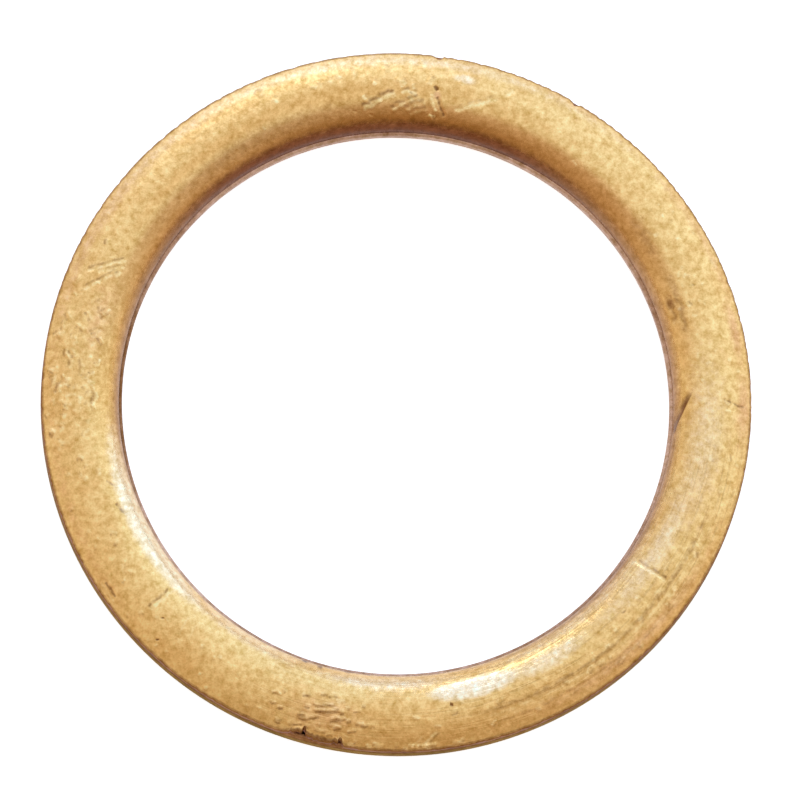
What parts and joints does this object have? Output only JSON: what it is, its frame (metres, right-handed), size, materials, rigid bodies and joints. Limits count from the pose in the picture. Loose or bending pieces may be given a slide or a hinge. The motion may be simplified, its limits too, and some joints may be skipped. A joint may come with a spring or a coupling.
{
  "type": "sealing ring",
  "caption": "Hollow copper crush sealing ring, one folded sheet with a domed crown, a flat underside and an open seam under its rim, which is torn in one place.",
  "frame": {"origin": "centre of the flat underside, on the ring's axis", "axes": "+Z along the ring's axis, from the flat underside to the crown; the tear in the rim lies towards -Y"},
  "size_m": [0.0388, 0.0388, 0.0026],
  "materials": {
    "copper": "soft annealed copper sheet, handled and tarnished, golden brown"
  },
  "bodies": {
    "root": {"ring": "copper"}
  },
  "joints": []
}
